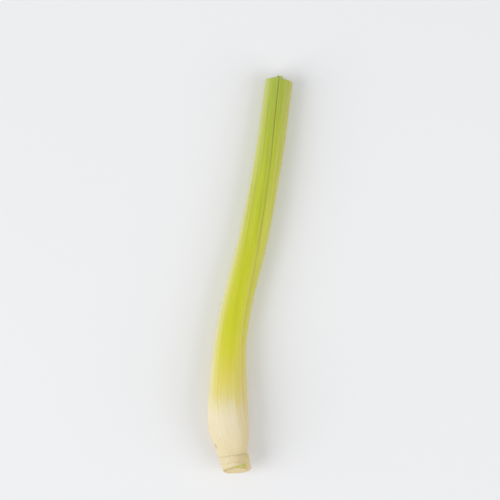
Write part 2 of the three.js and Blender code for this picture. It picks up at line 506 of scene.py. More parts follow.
def paint_side_light(tree, shade, along, rightward, green, leafy):
    """Painted light: the colour made paler on the left side as a painted sheen, and more tan on the
    right as painted shade.
    """
    to_left = spread(tree, rightward, -0.5, -1.0)
    left = multiply(tree, to_left, spread(tree, along, *SHEEN_SPAN), between(tree, leafy, 0.8, 0.4))
    shade = blend_colours(tree, left, shade, LEFT_PAINTED_SHEEN)
    right = multiply(tree, spread(tree, rightward, 0.3, 1.0), between(tree, green, 0.75, 0.4))
    return blend_colours(tree, right, shade, RIGHT_PAINTED_SHADE)


def draw_veins(tree, shade, veins, narrow, green, leafy):
    """Light veins and darker streaks, both stronger where the leaf is green."""
    strength = add_up(tree, between(tree, green, 0.1, 0.3), multiply(tree, leafy, 0.3))
    shade = blend_colours(tree, multiply(tree, veins, strength), shade, VEIN_LIGHT, "SOFT_LIGHT")
    dark = multiply(tree, spread(tree, narrow, 0.5, 0.9), between(tree, leafy, 0.12, 0.32))
    return blend_colours(tree, dark, shade, STREAK_SHADE, "MULTIPLY")


def add_flaws(tree, shade, specks, stain, margin, narrow):
    """Dry specks, a dry margin and brown stains."""
    shade = blend_colours(tree, multiply(tree, specks, 0.22), shade, DRY)
    shade = blend_colours(tree, multiply(tree, margin, 0.7), shade, DRY)
    stained = spread(tree, add_up(tree, stain, multiply(tree, narrow, 0.3)), 0.35, 1.0)
    return blend_colours(tree, stained, shade, BROWN)


print("the leaf turns green from", GREEN_SPAN[0], "to", GREEN_SPAN[1], "mm")


# %% The leaf's skin
def leaf_skin(name, stops, seed):
    """The skin of a leaf: cream to green by tongues, with veins, specks, stains and a dry margin."""
    material, tree, shader = new_material(name, roughness=0.42, subsurface=0.25)
    place = stored(tree, "leaf_place")
    along = split(tree, place)["Y"]
    marks = split(tree, stored(tree, "leaf_marks"))
    stain, margin, rightward = marks["X"], marks["Y"], marks["Z"]
    narrow = pattern(tree, STREAKS, place, Width=0.7, Length=45.0, Seed=seed)
    broad = pattern(tree, STREAKS, place, Width=3.5, Length=30.0, Seed=seed + 5)
    veins = pattern(tree, VEINS, place, Spacing=0.45, Wander=1.6)
    specks = pattern(tree, SPECKS, place, Spacing=0.8, Stretch=5.0, Amount=0.1)
    green = spread(tree, along, *GREEN_SPAN)
    leafy = spread(tree, along, *LEAFY_SPAN)

    level = pushed_level(tree, along, rightward, narrow, broad)
    shade = colour_ramp(tree, calculate(tree, "DIVIDE", level, RAMP_LENGTH), stops)
    # Painted sheen on the left side and painted shade on the right, from the direction each point faces.
    shade = paint_side_light(tree, shade, along, rightward, green, leafy)
    shade = draw_veins(tree, shade, veins, narrow, green, leafy)
    shade = add_flaws(tree, shade, specks, stain, margin, narrow)
    tree.links.new(shade, shader.inputs["Base Color"])

    rough = add_up(tree, between(tree, broad, 0.36, 0.48), multiply(tree, margin, 0.2))
    tree.links.new(rough, shader.inputs["Roughness"])
    height = add_up(tree, veins, multiply(tree, narrow, 0.8))
    bump(tree, shader, height, strength=0.35, distance=0.05 * MM)
    return material


OUTER_SKIN = leaf_skin("Outer leaf skin", OUTER_COLOURS, seed=0.0)
INNER_SKIN = leaf_skin("Inner leaf skin", INNER_COLOURS, seed=11.0)
print("leaf skins:", OUTER_SKIN.name, "and", INNER_SKIN.name)

# %% [markdown]
# ## The cut ends of the leaves
# A knife shows the inside of each leaf: pale wet flesh, a row of bundles that carry water, and a
# thin green skin on both faces. The cut could be one flat colour, but then the nested leaves would
# run into one. So the mesh also stores how deep a point lies in its wall, and the bundles and the
# skins are placed by that depth.

# %% The cut end of a leaf
OUTER_FLESH = colour(239, 239, 200)
INNER_FLESH = colour(244, 243, 214)
DULL_FLESH = colour(228, 229, 176)
PORE = colour(196, 196, 132)
BUNDLE = colour(146, 158, 74)
SKIN_EDGE = colour(150, 172, 62)
LINING_EDGE = colour(176, 192, 98)
BUNDLE_ROW = 0.66


def leaf_cut(name, flesh):
    """The cut top of a leaf: pale wet flesh, a row of bundles in it, and a thin green skin."""
    material, tree, shader = new_material(name, roughness=0.38, subsurface=0.3)
    place = stored(tree, "leaf_place")
    depth = add(tree, "ShaderNodeAttribute", {"attribute_name": "leaf_wall"}).outputs["Fac"]
    bundles = pattern(tree, SPECKS, place, Spacing=0.36, Stretch=30.0, Amount=0.85)
    pores = pattern(tree, SPECKS, place, Spacing=0.15, Stretch=60.0, Amount=0.4)
    noise = noise_at(tree, place, scale=2.2, detail=3.0)
    shade = blend_colours(tree, spread(tree, noise, 0.35, 0.75, 0.0, 0.5), flesh, DULL_FLESH)
    shade = blend_colours(tree, multiply(tree, pores, 0.18), shade, PORE)
    from_row = calculate(tree, "ABSOLUTE", calculate(tree, "SUBTRACT", depth, BUNDLE_ROW))
    in_row = multiply(tree, bundles, spread(tree, from_row, 0.12, 0.3, 0.6, 0.0))
    shade = blend_colours(tree, in_row, shade, BUNDLE)
    shade = blend_colours(tree, spread(tree, depth, 0.84, 0.98, 0.0, 0.8), shade, SKIN_EDGE)
    shade = blend_colours(tree, spread(tree, depth, 0.1, 0.02, 0.0, 0.5), shade, LINING_EDGE)
    tree.links.new(shade, shader.inputs["Base Color"])
    height = calculate(tree, "SUBTRACT", noise, multiply(tree, pores, 0.8))
    bump(tree, shader, height, strength=0.5, distance=0.04 * MM)
    return material


OUTER_CUT = leaf_cut("Cut of an outer leaf", OUTER_FLESH)
INNER_CUT = leaf_cut("Cut of an inner leaf", INNER_FLESH)
print("leaf cuts:", OUTER_CUT.name, "and", INNER_CUT.name)

# %% [markdown]
# ## Rolling a leaf
# A sheath is a flat blade that the plant rolled up once, with one edge lapped over the other. So
# it is modelled flat first: a grid is made solid, the upright edges round it are subdivided so
# that its ends can be rounded, and every point keeps its flat place. Then the blade is rolled by
# the formula of the shared form. A spun tube would be quicker, but it has no lap and no open end
# that looks like a leaf.

# %% A flat blade
# Extra rows lie close to the cut end, at these shares of the blade's length from it.
END_ROWS = (0.0008, 0.003, 0.0065)
END_SLACK = 1e-4
MERGE_SLACK = 1e-5
WALL_CUTS = 3


def flat_blade(columns, rows):
    """A flat slab one wide, one long and one thick, with extra rows at its top end."""
    bm = bmesh.new()
    bmesh.ops.create_grid(bm, x_segments=columns, y_segments=rows, size=0.5)
    bmesh.ops.translate(bm, verts=bm.verts, vec=(0.5, 0.5, 0))
    for from_top in END_ROWS:
        bmesh.ops.bisect_plane(
            bm,
            geom=bm.verts[:] + bm.edges[:] + bm.faces[:],
            dist=MERGE_SLACK,
            plane_co=(0, 1 - from_top, 0),
            plane_no=(0, 1, 0),
        )
    bmesh.ops.solidify(bm, geom=bm.faces[:], thickness=1.0)
    lowest = min(v.co.z for v in bm.verts)
    bmesh.ops.translate(bm, verts=bm.verts, vec=(0, 0, -lowest))
    upright = [e for e in bm.edges if abs(e.verts[0].co.z - e.verts[1].co.z) > 0.5]
    bmesh.ops.subdivide_edges(bm, edges=upright, cuts=WALL_CUTS, use_grid_fill=True)
    bmesh.ops.recalc_face_normals(bm, faces=bm.faces[:])
    return bm


trial = flat_blade(columns=4, rows=2)
print("a blade of 4 by 2 has", len(trial.faces), "faces and", len(trial.verts), "points")
trial.free()

# %% The lap of a rolled leaf
# The slit between the two edges, the edges and their lips are shares of the wall's thickness. The
# others are the angles over which the wall thins towards an edge.
LAP_SLIT = 0.11
LAP_EDGE = 0.34
LIP_SHARE = 0.07
LIP_RUN = 16 * DEGREE
OUTER_RAMP = 30 * DEGREE
INNER_RAMP = 15 * DEGREE
# Where the outer edge runs round the stalk, from the right-hand side over the top.
LAP_ANGLE = knots([
    (0, 8), (16, 18), (32, 29), (52, 33), (72, 46), (100, 66), (130, 82), (159, 92),
], unit=DEGREE)


def covered_depth(turn, lapped):
    """Outside of the wall under the lap, as a share of the wall's thickness."""
    share = np.clip(turn / lapped, 0.0, 1.0)
    return LAP_EDGE + (1 - LAP_SLIT - 2 * LAP_EDGE) * share


def wall_depths(turn, lapped):
    """The inside and the outside of the wall, with thin lips at both edges of the leaf."""
    past = turn - TURN
    lying = covered_depth(past, lapped) + LAP_SLIT
    inner = lying * np.clip(1 + past / INNER_RAMP, 0.0, 1.0)
    covered = covered_depth(turn, lapped)
    ramp = np.clip((turn - lapped) / OUTER_RAMP, 0.0, 1.0)
    outer = covered + (1 - covered) * np.sin(ramp * math.pi / 2)
    to_edge = np.minimum(turn, TURN + lapped - turn)
    full = np.sin(np.clip(to_edge / LIP_RUN, 0.0, 1.0) * math.pi / 2)
    return inner, inner + (outer - inner) * (LIP_SHARE + (1 - LIP_SHARE) * full)


inside, outside = wall_depths(np.array([math.pi]), 60 * DEGREE)
print("away from the lap the wall reaches from", inside[0], "to", outside[0], "of its thickness")

# %% [markdown]
# ## The relief of the leaf's skin
# Twelve broad ribs run along the outer leaf, with five or six fine veins to a rib. Where the leaf
# ends, at the ring on the stem, its edge is a little thick and uneven. One dark scar sits on the
# left near the ring. These are real height, worked out for each point, because a bump alone
# leaves the silhouette and the mesh smooth.

# %% Ribs, veins and dents
RIB_COUNT = 12
RIB_HEIGHT = knots([(5, 0.03), (22, 0.04), (60, 0.09), (159, 0.11)])
VEIN_COUNT = 66
VEIN_HEIGHT = knots([(5, 0.012), (22, 0.016), (60, 0.034), (159, 0.05)])
VEIN_SWAY = 2.2
DENT_DEPTH = 0.07 * MM
DENT_SIZE = (7 * MM, 22 * MM)
DENT_RADIUS = 6 * MM


def skin_relief(own, along, seed):
    """How far the skin is raised, which is nowhere above the form: grooves go in from it."""
    wander = 0.9 * np.sin(2 * own + 0.7) + 0.7 * np.sin(5 * own + along / (31 * MM))
    uneven = 0.65 + 0.35 * ripple(seed, own, along, 0.5, 60 * MM)
    veins = (np.cos(VEIN_COUNT * own + VEIN_SWAY * wander) - 1) / 2 * uneven
    ribs = (np.cos(RIB_COUNT * own) - 1) / 2
    dents = (ripple(seed + 1, own * DENT_RADIUS, along, *DENT_SIZE) - 1) / 2
    return (
        ribs * through(RIB_HEIGHT, along)
        + veins * through(VEIN_HEIGHT, along)
        + np.minimum(dents, 0.0) * DENT_DEPTH
    )


sample = skin_relief(np.linspace(0, TURN, 200), np.full(200, 60 * MM), seed=1)
print("deepest groove at 60 mm along, in mm:", round(float(-sample.min()) / MM, 3))

# %% The dark scar
SCAR_ANGLE = 154 * DEGREE
SCAR_ALONG = 11.5 * MM
SCAR_RADIUS = 6.3 * MM
SCAR_SIZE = 0.75 * MM
SCAR_LENGTH = 0.9 * MM
SCAR_PIT = 0.16 * MM
SCAR_DARK = 0.62


def scar_mark(angle, along):
    """1 in the middle of the dark scar, falling to 0 round it."""
    off = (angle - SCAR_ANGLE + math.pi) % TURN - math.pi
    across = off * SCAR_RADIUS
    return np.exp(-((across / SCAR_SIZE) ** 2) - ((along - SCAR_ALONG) / SCAR_LENGTH) ** 2)


scar_edge = scar_mark(SCAR_ANGLE, SCAR_ALONG + SCAR_LENGTH)
print("strength of the scar at its end:", round(float(scar_edge), 2))

# %% The ends and edges of a leaf
TOP_SLOPE = 0.05
STATION_EASE = 1.5
EDGE_WANDER = 2 * DEGREE
EDGE_WAVE = 34 * MM
EDGE_START = 0.88
EDGE_FREE = 0.02
NICK_LENGTH = 5 * MM
RIM_REACH = 0.25 * MM
RIM_FLARE = 0.08 * MM
RIM_RUN = 0.7 * MM
RIM_ROUND = 0.16 * MM
RIM_UNEVEN = 0.35
RIM_BROWN = 0.25
TOP_FRAY = 0.09 * MM
TOP_ROUND = 0.07 * MM


def own_angle(leaf, u, level, turn):
    """The angle round the leaf itself. Its outer edge wanders and has a few small nicks."""
    edge_wave = ripple(leaf["seed"], level, 0.0, EDGE_WAVE, 1.0)
    nicks = np.maximum(0.0, ripple(leaf["seed"] + 1, level, 0.0, NICK_LENGTH, 1.0) - 0.6)
    wander = ease(EDGE_START, 1.0, u) * EDGE_WANDER * (1 + 0.7 * edge_wave + 1.5 * nicks)
    return leaf["lap"] * DEGREE - turn + wander


def uneven_ends(leaf, own, v, w, along):
    """The lengths along, with the lower rim rounded and the cut end frayed."""
    along = along - np.where(v < END_SLACK, RIM_ROUND * np.sin(math.pi * w), 0.0)
    fray = TOP_FRAY * ripple(leaf["seed"] + 3, own, w, 0.25, 1.5)
    fray = fray - TOP_ROUND * np.abs(2 * w - 1) ** 4
    return along + np.where(v > 1 - END_SLACK, fray, 0.0)


print("the lower rim reaches", round((RIM_REACH + RIM_ROUND) / MM, 2), "mm past the plain leaf")

# %% Roll a blade into a leaf
# The radius by which a share becomes a place in millimetres, for the patterns.
MEAN_RADIUS = 5.8


def roll_leaf(leaf, flat):
    """Moves the flat blade's points to the rolled leaf. Returns them with their place and marks."""
    u, v, w = flat.T
    lapped = leaf["lap"] * DEGREE
    turn = u * (TURN + lapped)
    rise = v**STATION_EASE
    level = leaf["base"] + (leaf["top"] - leaf["base"]) * rise
    own = own_angle(leaf, u, level, turn)
    angle = own + through(LAP_ANGLE, level) + leaf["turned"] * DEGREE
    inner, outer = wall_depths(turn, lapped)
    wall = leaf["outside"] - leaf["inside"]
    share = leaf["inside"] + wall * (inner + (outer - inner) * w)
    top_radius = through(HALF_WIDTH, np.array(leaf["top"]))
    along = level + rise * TOP_SLOPE * top_radius * share * np.sin(angle)

    at_rim = np.exp(-(level - leaf["base"]) / RIM_RUN)
    rim_wave = ripple(leaf["seed"] + 2, own, 0.0, 0.9, 1.0)
    along = along - RIM_REACH * at_rim * (1 + RIM_UNEVEN * rim_wave)
    along = uneven_ends(leaf, own, v, w, along)

    outside = w * ease(0.0, EDGE_FREE, u) * ease(0.0, EDGE_FREE, 1 - u)
    raised = outside * leaf["relief"] * skin_relief(own, along, leaf["seed"] + 4)
    scar = scar_mark(angle, along) * w * leaf["scar"]
    raised = raised + w * at_rim * RIM_FLARE - scar * SCAR_PIT
    points = stalk_point(angle, share, along, raised)

    place = np.stack((turn * leaf["outside"] * MEAN_RADIUS, along / MM, w * wall * MEAN_RADIUS), -1)
    brown_rim = at_rim * ease(0.3, 1.0, 0.5 + 0.5 * rim_wave) * RIM_BROWN
    stain = np.clip(scar * SCAR_DARK + brown_rim, 0.0, 1.0)
    margin = ease(1 - leaf["margin"], 1.0, u)
    # The third mark, how far a point faces right, places the painted sheen on the left and the painted
    # shade on the right, and also pushes the colour ramp.
    marks = np.stack((stain, margin, np.cos(angle)), -1)
    return points, {"leaf_place": place, "leaf_marks": marks, "leaf_wall": w}


print("mean radius for the patterns, in mm:", MEAN_RADIUS)

# %% [markdown]
# ## Making the five leaves
# The five leaves have one form and differ in width, lap, length and age. They could be copies of
# one leaf at other scales, but then every leaf would have the same veins and the same worn edge.
# So one function makes them all from a list of measures, with a seed for each, and each becomes a
# piece that stands for its packed solid.


# %% Points of a mesh
def mesh_from(bm, name):
    """A mesh from a bmesh, which is freed."""
    mesh = bpy.data.meshes.new(name)
    bm.to_mesh(mesh)
    bm.free()
    return mesh


def store(mesh, values):
    """Stores a number or a vector for each point of a mesh, each set under its name."""
    for name, given in values.items():
        kind, field = ("FLOAT", "value") if given.ndim == 1 else ("FLOAT_VECTOR", "vector")
        attribute = mesh.attributes.new(name, kind, "POINT")
        attribute.data.foreach_set(field, np.ascontiguousarray(given, np.float32).ravel())


def points_of(mesh):
    """The points of a mesh, as an array."""
    points = np.empty(len(mesh.vertices) * 3, np.float32)
    mesh.vertices.foreach_get("co", points)
    return points.reshape(-1, 3).astype(float)


def place_points(mesh, points):
    """Moves the points of a mesh, none of them past the box of the packed model."""
    kept = np.clip(points, np.array(cad_box[0]), np.array(cad_box[1]))
    mesh.vertices.foreach_set("co", kept.astype(np.float32).ravel())


print("pieces are kept between these corners, in mm:", np.round(np.array(cad_box) / MM, 2).tolist())


# %% Finish a piece
def finish_piece(name, mesh, node):
    """Links a mesh as a piece that stands for a node of the frame."""
    mesh.update()
    piece = bpy.data.objects.new(name, mesh)
    bpy.context.scene.collection.objects.link(piece)
    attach(piece, "root")
    if node:
        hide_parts(node)
    points = points_of(mesh) / MM
    mesh.calc_loop_triangles()
    print(name, "has", len(mesh.loop_triangles), "triangles")
    print("  from", np.round(points.min(0), 2), "to", np.round(points.max(0), 2), "mm")


print("packed pieces to stand for:", len(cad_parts))

# %% The five leaves
# From the outermost in. Radii are shares of the stalk's own radius, and the lap and the turn of
# its edge are in degrees, all as in the packed solids. Only the outermost leaf has a scar.
LEAVES = [
    {
        "name": "outer_leaf", "node": "outer_sheath", "slot": "outer_leaf",
        "outside": 1.0, "inside": 0.8, "lap": 60, "turned": 0,
        "base": 7.6 * MM, "top": TOP_CUT - 0.7 * MM,
        "columns": 420, "rows": 84, "relief": 1.0, "margin": 0.012, "scar": 1, "seed": 20,
        "skin": OUTER_SKIN, "cut": OUTER_CUT,
    },
    {
        "name": "second_leaf", "node": "second_sheath", "slot": "second_leaf",
        "outside": 0.77, "inside": 0.6, "lap": 60, "turned": 180,
        "base": 10 * MM, "top": TOP_CUT - 0.3 * MM,
        "columns": 210, "rows": 40, "relief": 0.6, "margin": 0.02, "scar": 0, "seed": 40,
        "skin": INNER_SKIN, "cut": OUTER_CUT,
    },
    {
        "name": "third_leaf", "node": "third_sheath", "slot": "third_leaf",
        "outside": 0.57, "inside": 0.42, "lap": 80, "turned": 12,
        "base": 13.5 * MM, "top": TOP_CUT,
        "columns": 180, "rows": 36, "relief": 0.6, "margin": 0.02, "scar": 0, "seed": 60,
        "skin": INNER_SKIN, "cut": INNER_CUT,
    },
    {
        "name": "fourth_leaf", "node": "fourth_sheath", "slot": "fourth_leaf",
        "outside": 0.39, "inside": 0.26, "lap": 60, "turned": 197,
        "base": 17.5 * MM, "top": TOP_CUT + 0.4 * MM,
        "columns": 140, "rows": 32, "relief": 0.4, "margin": 0.02, "scar": 0, "seed": 80,
        "skin": INNER_SKIN, "cut": INNER_CUT,
    },
    {
        "name": "youngest_leaf", "node": "heart_leaf", "slot": "heart_leaf",
        "outside": 0.23, "inside": 0.07, "lap": 150, "turned": 30,
        "base": 22.5 * MM, "top": TOP_CUT + 1.1 * MM,
        "columns": 110, "rows": 30, "relief": 0.25, "margin": 0.02, "scar": 0, "seed": 100,
        "skin": INNER_SKIN, "cut": INNER_CUT,
    },
]
print("leaves:", [leaf["name"] for leaf in LEAVES])


# %% Make the leaves
def make_leaf(leaf):
    """One rolled leaf, with its skin and its cut end in two materials and a sharp edge between."""
    bm = flat_blade(leaf["columns"], leaf["rows"])
    for face in bm.faces:
        face.smooth = True
        face.material_index = int(all(v.co.y > 1 - END_SLACK for v in face.verts))
    for edge in bm.edges:
        edge.smooth = len({face.material_index for face in edge.link_faces}) == 1
    mesh = mesh_from(bm, leaf["name"])
    points, values = roll_leaf(leaf, points_of(mesh))
    place_points(mesh, points)
    store(mesh, values)
    mesh.materials.append(leaf["skin"])
    mesh.materials.append(leaf["cut"])
    finish_piece(leaf["name"], mesh, leaf["node"])


for leaf in LEAVES:
    make_leaf(leaf)

# %% [markdown]
# ## The stem base
# Below the leaves is a plug of solid stem, with the flat cut of the knife and a ring-shaped scar
# where an older leaf was pulled off. Inside the bulb it goes on in steps, one for each leaf. It is
# round, so a profile of a few points is spun into a solid, and then laid along the bent stalk by
# the shared form. That swaps two axes, which turns a solid inside out like a mirror does, so its
# faces are turned round beforehand.

# %% Profile of the stem base
STEP_GAP = 0.3 * MM
CUT_DISH = 0.3 * MM
CUT_ROUND = 0.4 * MM
RING_ALONG = 4.1 * MM
RING_HALF = 0.5 * MM
RING_DEPTH = 0.018
SHOULDER_ROUND = 0.4 * MM


def stem_profile():
    """The profile as share of the radius, length along, and how many rings lie on the way there."""
    shoulder = LEAVES[0]["base"] - STEP_GAP
    profile = [
        (0, ROOT_CUT + CUT_DISH, 0),
        (0.35, ROOT_CUT + CUT_DISH * 0.9, 9),
        (0.7, ROOT_CUT + CUT_DISH * 0.45, 9),
        (0.92, ROOT_CUT, 6),
        (1, ROOT_CUT + CUT_ROUND, 3),
        (1, RING_ALONG - RING_HALF, 8),
        (1 - RING_DEPTH, RING_ALONG, 2),
        (1, RING_ALONG + RING_HALF, 2),
        (1, shoulder - SHOULDER_ROUND, 4),
        (0.96, shoulder, 2),
    ]
    for leaf, following in zip(LEAVES, LEAVES[1:] + [None]):
        radius = leaf["inside"] - GAP
        profile.append((radius, leaf["base"] - STEP_GAP, 1))
        if following:
            profile.append((radius, following["base"] - STEP_GAP, 3))
    profile.append((0, LEAVES[-1]["base"] - STEP_GAP, 1))
    return profile


print("points in the stem's profile:", len(stem_profile()))

# %% Spin the profile
SPIN_STEPS = 200
DRAWN_RADIUS = 5.5 * MM
POLE_SLACK = 0.001 * MM


def spin_stem(profile):
    """The profile spun once round and closed at both poles. Laying it down turns it right side out."""
    bm = bmesh.new()
    corners = [bm.verts.new((share * DRAWN_RADIUS, 0, along)) for share, along, _ in profile]
    sides = [bm.edges.new(pair) for pair in zip(corners, corners[1:])]
    for side, (_, _, rings) in zip(sides, profile[1:]):
        if rings:
            bmesh.ops.subdivide_edges(bm, edges=[side], cuts=rings)
    bmesh.ops.spin(
        bm,
        geom=bm.verts[:] + bm.edges[:],
        cent=(0, 0, 0),
        axis=(0, 0, 1),
        angle=TURN,
        steps=SPIN_STEPS,
        use_merge=True,
    )
    bmesh.ops.remove_doubles(bm, verts=bm.verts[:], dist=POLE_SLACK)
    bmesh.ops.recalc_face_normals(bm, faces=bm.faces[:])
    bmesh.ops.reverse_faces(bm, faces=bm.faces[:])
    return bm


print("steps of the spin:", SPIN_STEPS, "on a drawn radius of", round(DRAWN_RADIUS / MM, 2), "mm")

# %% Olive tissue of the stem
# A band lies over the upper rim of the cut, from its right to just past its top. It fades out
# above the rim, higher on the right, and one spot lies on the right below the ring.
OLIVE_FROM = 38 * DEGREE
OLIVE_TO = 108 * DEGREE
OLIVE_SOFT = 0.2
OLIVE_FADE = (2.0 * MM, 2.9 * MM)
OLIVE_SLANT = 0.6 * MM
OLIVE_RAGGED = 0.35 * MM
OLIVE_SPOT = (22 * DEGREE, 6.1 * MM)
OLIVE_SPOT_SIZE = 1.0 * MM


def olive_mark(angle, share, along, skin, outside):
    """How much of the tissue at a point is still olive."""
    band = ease(OLIVE_FROM, OLIVE_FROM + OLIVE_SOFT, angle)
    band = band * (1 - ease(OLIVE_TO - OLIVE_SOFT, OLIVE_TO, angle))
    level = along + OLIVE_RAGGED * skin - OLIVE_SLANT * np.cos(angle)
    band = band * ease(0.52, 0.75, share) * (1 - ease(*OLIVE_FADE, level))
    spot_off = np.hypot((angle - OLIVE_SPOT[0]) * DRAWN_RADIUS, along - OLIVE_SPOT[1])
    return band + outside * np.exp(-((spot_off / OLIVE_SPOT_SIZE) ** 2))


print("olive band in degrees:", round(OLIVE_FROM / DEGREE), "to", round(OLIVE_TO / DEGREE))

# %% Lay the stem base along the stalk
RIM = 0.9
RIM_SOFT = 0.02
BULGE = 0.45 * MM
CUT_EDGE = (0.15 * MM, 0.5 * MM)
CUT_GRAIN = 0.05 * MM
RIM_TEAR = 0.09 * MM
SKIN_LUMPS = 0.04 * MM
FIBRE_LINES = 58
FIBRE_GROOVE = 0.014 * MM
RING_RUN = 0.45 * MM


def shape_stem(drawn):
    """Moves the spun solid's points to the stalk, and works out their place and marks."""
    x, y, along = drawn.T
    angle = np.arctan2(y, x)
    share = np.hypot(x, y) / DRAWN_RADIUS
    outside = ease(RIM - RIM_SOFT, RIM + RIM_SOFT, share)
    on_cut = 1 - ease(ROOT_CUT + CUT_EDGE[0], ROOT_CUT + CUT_EDGE[1], along)
    swell = outside * BULGE * np.maximum(0, np.cos(angle))
    flat_x = x / MM
    flat_y = y / MM
    grain = ripple(7, flat_x, flat_y, 0.9, 0.9, waves=12)
    grain = grain + 0.6 * ripple(8, flat_x, flat_y, 0.35, 2.5, waves=12)
    tear = ripple(9, angle, share, 0.16, 0.4, waves=10)
    inward = along + on_cut * (CUT_GRAIN * grain + outside * RIM_TEAR * tear)
    skin = ripple(10, angle, along, 0.35, 2.5 * MM, waves=12)
    lengthwise = np.cos(FIBRE_LINES * angle + 2 * np.sin(3 * angle)) - 1
    raised = swell + outside * (1 - on_cut) * (SKIN_LUMPS * skin + FIBRE_GROOVE * lengthwise)
    points = stalk_point(angle, share, inward, raised)

    place = np.stack((flat_x, flat_y, along / MM), -1)
    olive = olive_mark(angle, share, along, skin, outside)
    ring = np.exp(-(((along - RING_ALONG) / RING_RUN) ** 2))
    worn = np.clip(ring + outside * on_cut, 0, 1)
    return points, {"stem_place": place, "stem_marks": np.stack((share, olive, worn), -1)}


print("the plug swells on its right by", round(BULGE / MM, 2), "mm")

# %% [markdown]
# ## The finish of the stem base
# The plug's skin is tan and slightly woody, with painted shade on its right side. The cut has dried
# to a tan brown, with the ends of the fibre bundles as dark dots, a faint line round the core and a
# darker rim, and a band of olive tissue is left along its upper edge. The dots could be drawn by
# noise, but Voronoi cells make better bundle ends: they are scattered evenly, and never in rows.

# %% Woody skin
OLIVE = colour(190, 190, 72)
SKIN_LIGHT = colour(236, 220, 182)
SKIN_TAN = colour(224, 206, 162)
# The darker tan of the painted shade on the plug's right side.
SKIN_PAINTED_SHADE = colour(212, 188, 138)
SKIN_WORN = colour(196, 170, 116)
SKIN_FIBRES = (2.4, 2.4, 0.5)


def stem_skin():
    """Tan skin of the stem, darker in the ring and at the worn rim, with painted shade on its right
    side.
    """
    material, tree, shader = new_material("Stem skin", roughness=0.55, subsurface=0.2)
    place = stored(tree, "stem_place")
    rightward = split(tree, place)["X"]
    marks = split(tree, stored(tree, "stem_marks"))
    fibres = add(tree, "ShaderNodeMapping", None, {"Vector": place, "Scale": SKIN_FIBRES})
    noise = noise_at(tree, fibres.outputs[0], detail=5.0)
    patches = spread(tree, noise, 0.34, 0.7)
    shade = blend_colours(tree, patches, SKIN_LIGHT, SKIN_TAN)
    specks = pattern(tree, SPECKS, place, Spacing=0.6, Stretch=1.0, Amount=0.3)
    shade = blend_colours(tree, multiply(tree, specks, 0.4), shade, DRY)
    # Painted shade: the plug's right side, away from the left light, is blended towards a darker tan.
    shade = blend_colours(tree, spread(tree, rightward, -0.5, 2.5, 0.0, 0.6), shade, SKIN_PAINTED_SHADE)
    worn = multiply(tree, marks["Z"], between(tree, patches, 0.05, 0.25))
    shade = blend_colours(tree, worn, shade, SKIN_WORN)
    olive = multiply(tree, marks["Y"], spread(tree, noise, 0.34, 0.58))
    shade = blend_colours(tree, olive, shade, OLIVE)
    tree.links.new(shade, shader.inputs["Base Color"])
    tree.links.new(between(tree, patches, 0.5, 0.66), shader.inputs["Roughness"])
    bump(tree, shader, noise, strength=0.4, distance=0.07 * MM)
    return material


STEM_SKIN = stem_skin()
print("material:", STEM_SKIN.name)

# %% Dried cut
DRIED_LIGHT = colour(235, 216, 166)
DRIED_TAN = colour(218, 197, 142)
DRIED_BUNDLE = colour(146, 120, 80)
DRIED_LINE = colour(176, 146, 96)
DRIED_RIM = colour(184, 156, 106)
CORE_SHARE = 0.85


def dried_cut():
    """The dried cut face: tan brown, with bundle ends, a line round the core and an olive band."""
    material, tree, shader = new_material("Dried root cut", roughness=0.7, subsurface=0.1)
    place = stored(tree, "stem_place")
    marks = split(tree, stored(tree, "stem_marks"))
    share = marks["X"]
    noise = noise_at(tree, place, scale=1.6, detail=6.0)
    patches = spread(tree, noise, 0.36, 0.7)
    shade = blend_colours(tree, patches, DRIED_LIGHT, DRIED_TAN)
    bundles = pattern(tree, SPECKS, place, Spacing=0.36, Stretch=1.0, Amount=0.8)
    shade = blend_colours(tree, multiply(tree, bundles, 0.4), shade, DRIED_BUNDLE)
    uneven_share = add_up(tree, share, multiply(tree, noise, 0.1))
    from_core = calculate(tree, "ABSOLUTE", calculate(tree, "SUBTRACT", uneven_share, CORE_SHARE))
    shade = blend_colours(tree, spread(tree, from_core, 0.01, 0.04, 0.3, 0.0), shade, DRIED_LINE)
    shade = blend_colours(tree, spread(tree, share, 0.84, 0.98, 0.0, 0.4), shade, DRIED_RIM)
    olive = multiply(tree, marks["Y"], spread(tree, noise, 0.2, 0.62))
    shade = blend_colours(tree, olive, shade, OLIVE)
    tree.links.new(shade, shader.inputs["Base Color"])
    tree.links.new(between(tree, patches, 0.6, 0.8), shader.inputs["Roughness"])
    height = add_up(tree, noise, multiply(tree, bundles, 0.4))
    bump(tree, shader, height, strength=0.7, distance=0.1 * MM)
    return material


DRIED_CUT = dried_cut()
print("material:", DRIED_CUT.name)

# %% Make the stem base
CUT_SHARE = 0.965


def make_stem():
    """The stem base, with its skin and its cut face in two materials."""
    bm = spin_stem(stem_profile())
    for face in bm.faces:
        middle = face.calc_center_median()
        face.smooth = True
        in_cut = math.hypot(middle.x, middle.y) < CUT_SHARE * DRAWN_RADIUS
        face.material_index = int(in_cut and middle.z < ROOT_CUT + CUT_ROUND)
    mesh = mesh_from(bm, "stem_plug")
    points, values = shape_stem(points_of(mesh))
    place_points(mesh, points)
    store(mesh, values)
    mesh.materials.append(STEM_SKIN)
    mesh.materials.append(DRIED_CUT)
    finish_piece("stem_plug", mesh, "stem_base")


make_stem()

# %% [markdown]
# ## Torn fibres
# A knife leaves the ends of tough fibres standing out of a cut. A hair system could make them, but
# an export keeps only meshes. So each is a thin cone of a few faces, because there are many of
# them and they are under a millimetre long. A seeded draw places them in the upper part of the
# root cut, near its rim, where the tissue is toughest.

# %% Scatter the fibres
FIBRE_COUNT = 70
FIBRE_SEED = 31
FIBRE_SIDES = 5
FIBRE_RADIUS = 0.07 * MM
FIBRE_TIP = 0.35
FIBRE_ROOT = np.array([ROOT_CUT + 0.25 * MM])
